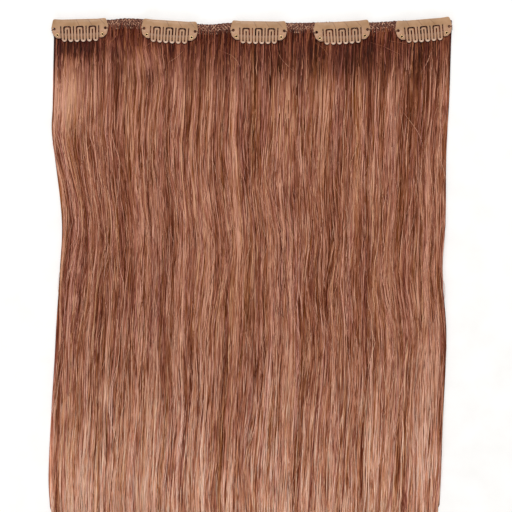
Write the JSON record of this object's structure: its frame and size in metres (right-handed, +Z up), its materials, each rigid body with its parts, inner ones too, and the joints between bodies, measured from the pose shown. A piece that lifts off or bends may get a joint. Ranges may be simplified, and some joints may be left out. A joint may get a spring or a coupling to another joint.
{
  "type": "clip in hair extension",
  "caption": "Wide hair weft on a stitched band with snap comb clips along it, lying flat; each comb swings open to grip hair.",
  "frame": {"origin": "on the surface that the weft lies on, under the middle of its bounding box", "axes": "+X along the stitched band to the right as seen from above, +Y from the hair's tips towards the band, +Z up out of the surface, towards the clips' faces"},
  "size_m": [0.2268, 0.3062, 0.0048],
  "materials": {
    "band": "stitched polyester and hair tracks, brown with tan thread",
    "hair": "straight human hair, rosy brown, satin sheen",
    "clip_steel": "tan lacquered spring steel, semi-gloss",
    "rivet_metal": "small rolled eyelet rivet"
  },
  "bodies": {
    "weft": {"weft_band": "band", "hair": "hair", "clip_1_spring_bar": "clip_steel", "clip_1_lobe_left": "clip_steel", "clip_1_lobe_right": "clip_steel", "clip_1_rivet_left": "rivet_metal", "clip_1_rivet_right": "rivet_metal", "clip_2_spring_bar": "clip_steel", "clip_2_lobe_left": "clip_steel", "clip_2_lobe_right": "clip_steel", "clip_2_rivet_left": "rivet_metal", "clip_2_rivet_right": "rivet_metal", "clip_3_spring_bar": "clip_steel", "clip_3_lobe_left": "clip_steel", "clip_3_lobe_right": "clip_steel", "clip_3_rivet_left": "rivet_metal", "clip_3_rivet_right": "rivet_metal", "clip_4_spring_bar": "clip_steel", "clip_4_lobe_left": "clip_steel", "clip_4_lobe_right": "clip_steel", "clip_4_rivet_left": "rivet_metal", "clip_4_rivet_right": "rivet_metal", "clip_5_spring_bar": "clip_steel", "clip_5_lobe_left": "clip_steel", "clip_5_lobe_right": "clip_steel", "clip_5_rivet_left": "rivet_metal", "clip_5_rivet_right": "rivet_metal"},
    "clip_1_comb_body": {"clip_1_comb": "clip_steel"},
    "clip_2_comb_body": {"clip_2_comb": "clip_steel"},
    "clip_3_comb_body": {"clip_3_comb": "clip_steel"},
    "clip_4_comb_body": {"clip_4_comb": "clip_steel"},
    "clip_5_comb_body": {"clip_5_comb": "clip_steel"}
  },
  "joints": [
    {"name": "clip_1_snap", "type": "hinge", "parent": "weft", "child": "clip_1_comb_body", "pos_m": [-0.09554, 0.15114, 0.0031], "axis": [-0.9997, -0.0262, 0], "range_deg": [0, 40]},
    {"name": "clip_2_snap", "type": "hinge", "parent": "weft", "child": "clip_2_comb_body", "pos_m": [-0.04477, 0.15031, 0.0031], "axis": [-0.998, 0.0628, 0], "range_deg": [0, 40]},
    {"name": "clip_3_snap", "type": "hinge", "parent": "weft", "child": "clip_3_comb_body", "pos_m": [0.00504, 0.14994, 0.0031], "axis": [-0.9999, 0.014, 0], "range_deg": [0, 40]},
    {"name": "clip_4_snap", "type": "hinge", "parent": "weft", "child": "clip_4_comb_body", "pos_m": [0.05141, 0.14977, 0.0031], "axis": [-0.9984, -0.0558, 0], "range_deg": [0, 40]},
    {"name": "clip_5_snap", "type": "hinge", "parent": "weft", "child": "clip_5_comb_body", "pos_m": [0.09709, 0.15106, 0.0031], "axis": [-0.9965, -0.0837, 0], "range_deg": [0, 40]}
  ]
}
